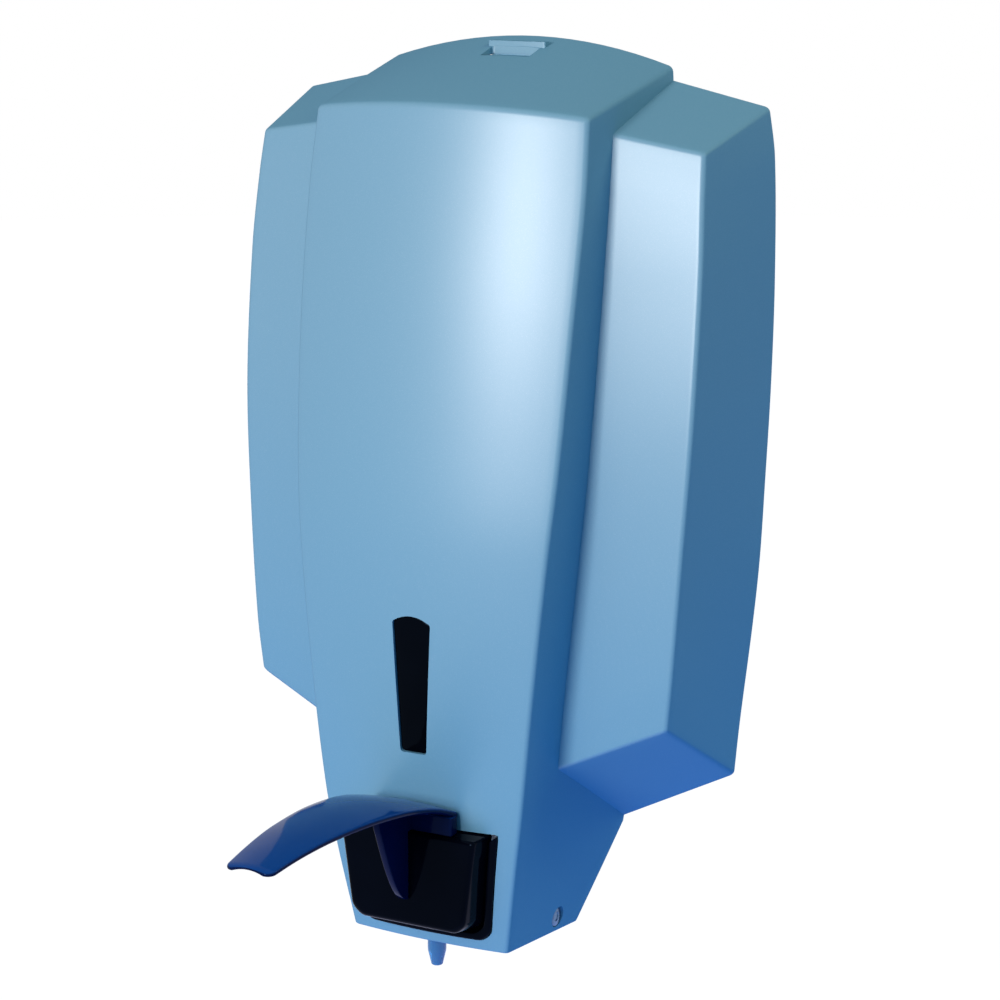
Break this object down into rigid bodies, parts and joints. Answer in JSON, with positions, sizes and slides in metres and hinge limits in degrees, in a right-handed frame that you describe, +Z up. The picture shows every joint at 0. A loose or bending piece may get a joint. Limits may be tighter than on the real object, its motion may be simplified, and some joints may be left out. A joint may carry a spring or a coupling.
{
  "type": "elbow lever soap dispenser",
  "caption": "Wall dispenser for liquid soap: tall satin cover over a refillable tank and a push pump, worked by a long elbow lever on a swinging pad; the cover opens forward on low pins.",
  "frame": {"origin": "on the back face of the wall plate, in the middle of its width, 150 mm above the cover's lower front edge", "axes": "+X to the right seen from the front, -Y out of the wall towards the user, +Z up"},
  "size_m": [0.2368, 0.24, 0.4042],
  "materials": {
    "satin_silver": "satin metallic silver paint with a blue cast",
    "dark_gloss": "high gloss, nearly black",
    "dark_blue_gloss": "high gloss, dark blue",
    "smoked_lens": "smoked clear",
    "blue_clear": "translucent blue",
    "grey_plastic": "fine matt grain",
    "milky_plastic": "milky translucent",
    "white_plastic": "smooth",
    "steel": "bright zinc",
    "black_rubber": "matt"
  },
  "bodies": {
    "wall_unit": {"wall_plate": "grey_plastic", "tank_shelf": "grey_plastic", "shelf_screw_left": "steel", "shelf_screw_right": "steel", "pump_cradle": "grey_plastic", "cradle_screw_left": "steel", "cradle_screw_right": "steel", "hinge_pin_left": "steel", "hinge_pin_right": "steel", "tank": "milky_plastic", "outlet_seal": "black_rubber", "pump_body": "white_plastic", "pump_gland": "white_plastic", "inlet_ball": "steel", "return_spring": "steel", "latch_spring": "steel"},
    "cover": {"front_cover": "satin_silver", "window_lens": "smoked_lens", "pad_frame": "dark_gloss", "pad_pin": "steel"},
    "lever": {"elbow_lever": "dark_blue_gloss", "push_pad": "dark_gloss", "lever_screw_left": "steel", "lever_screw_right": "steel"},
    "plunger": {"plunger": "white_plastic", "piston_seal": "black_rubber", "spout": "blue_clear", "outlet_valve": "white_plastic"},
    "latch": {"latch_tongue": "satin_silver"},
    "cap": {"filler_cap": "dark_blue_gloss", "filler_seal": "black_rubber"}
  },
  "joints": [
    {"name": "cover_open", "type": "hinge", "parent": "wall_unit", "child": "cover", "pos_m": [0, -0.052, -0.147], "axis": [1, 0, 0], "range_deg": [0, 95]},
    {"name": "lever_press", "type": "hinge", "parent": "cover", "child": "lever", "pos_m": [0, -0.095, -0.09], "axis": [1, 0, 0], "range_deg": [0, 18], "stiffness_Nm_per_rad": 0.6, "springref_deg": -11.46},
    {"name": "plunger_slide", "type": "slide", "parent": "wall_unit", "child": "plunger", "axis": [0, 1, 0], "range_m": [0, 0.0098], "stiffness_N_per_m": 200, "springref_m": -0.01, "deforming": ["return_spring"]},
    {"name": "latch_press", "type": "slide", "parent": "wall_unit", "child": "latch", "axis": [0, 0, -1], "range_m": [0, 0.003], "stiffness_N_per_m": 600, "springref_m": -0.002, "deforming": ["latch_spring"]},
    {"name": "cap_turn", "type": "hinge", "parent": "wall_unit", "child": "cap", "pos_m": [0, -0.046, 0.19], "axis": [0, 0, 1], "range_deg": [0, 90]}
  ],
  "couplings": [
    {"joint": "plunger_slide", "follows": "lever_press", "m_per_rad": 0.031}
  ]
}
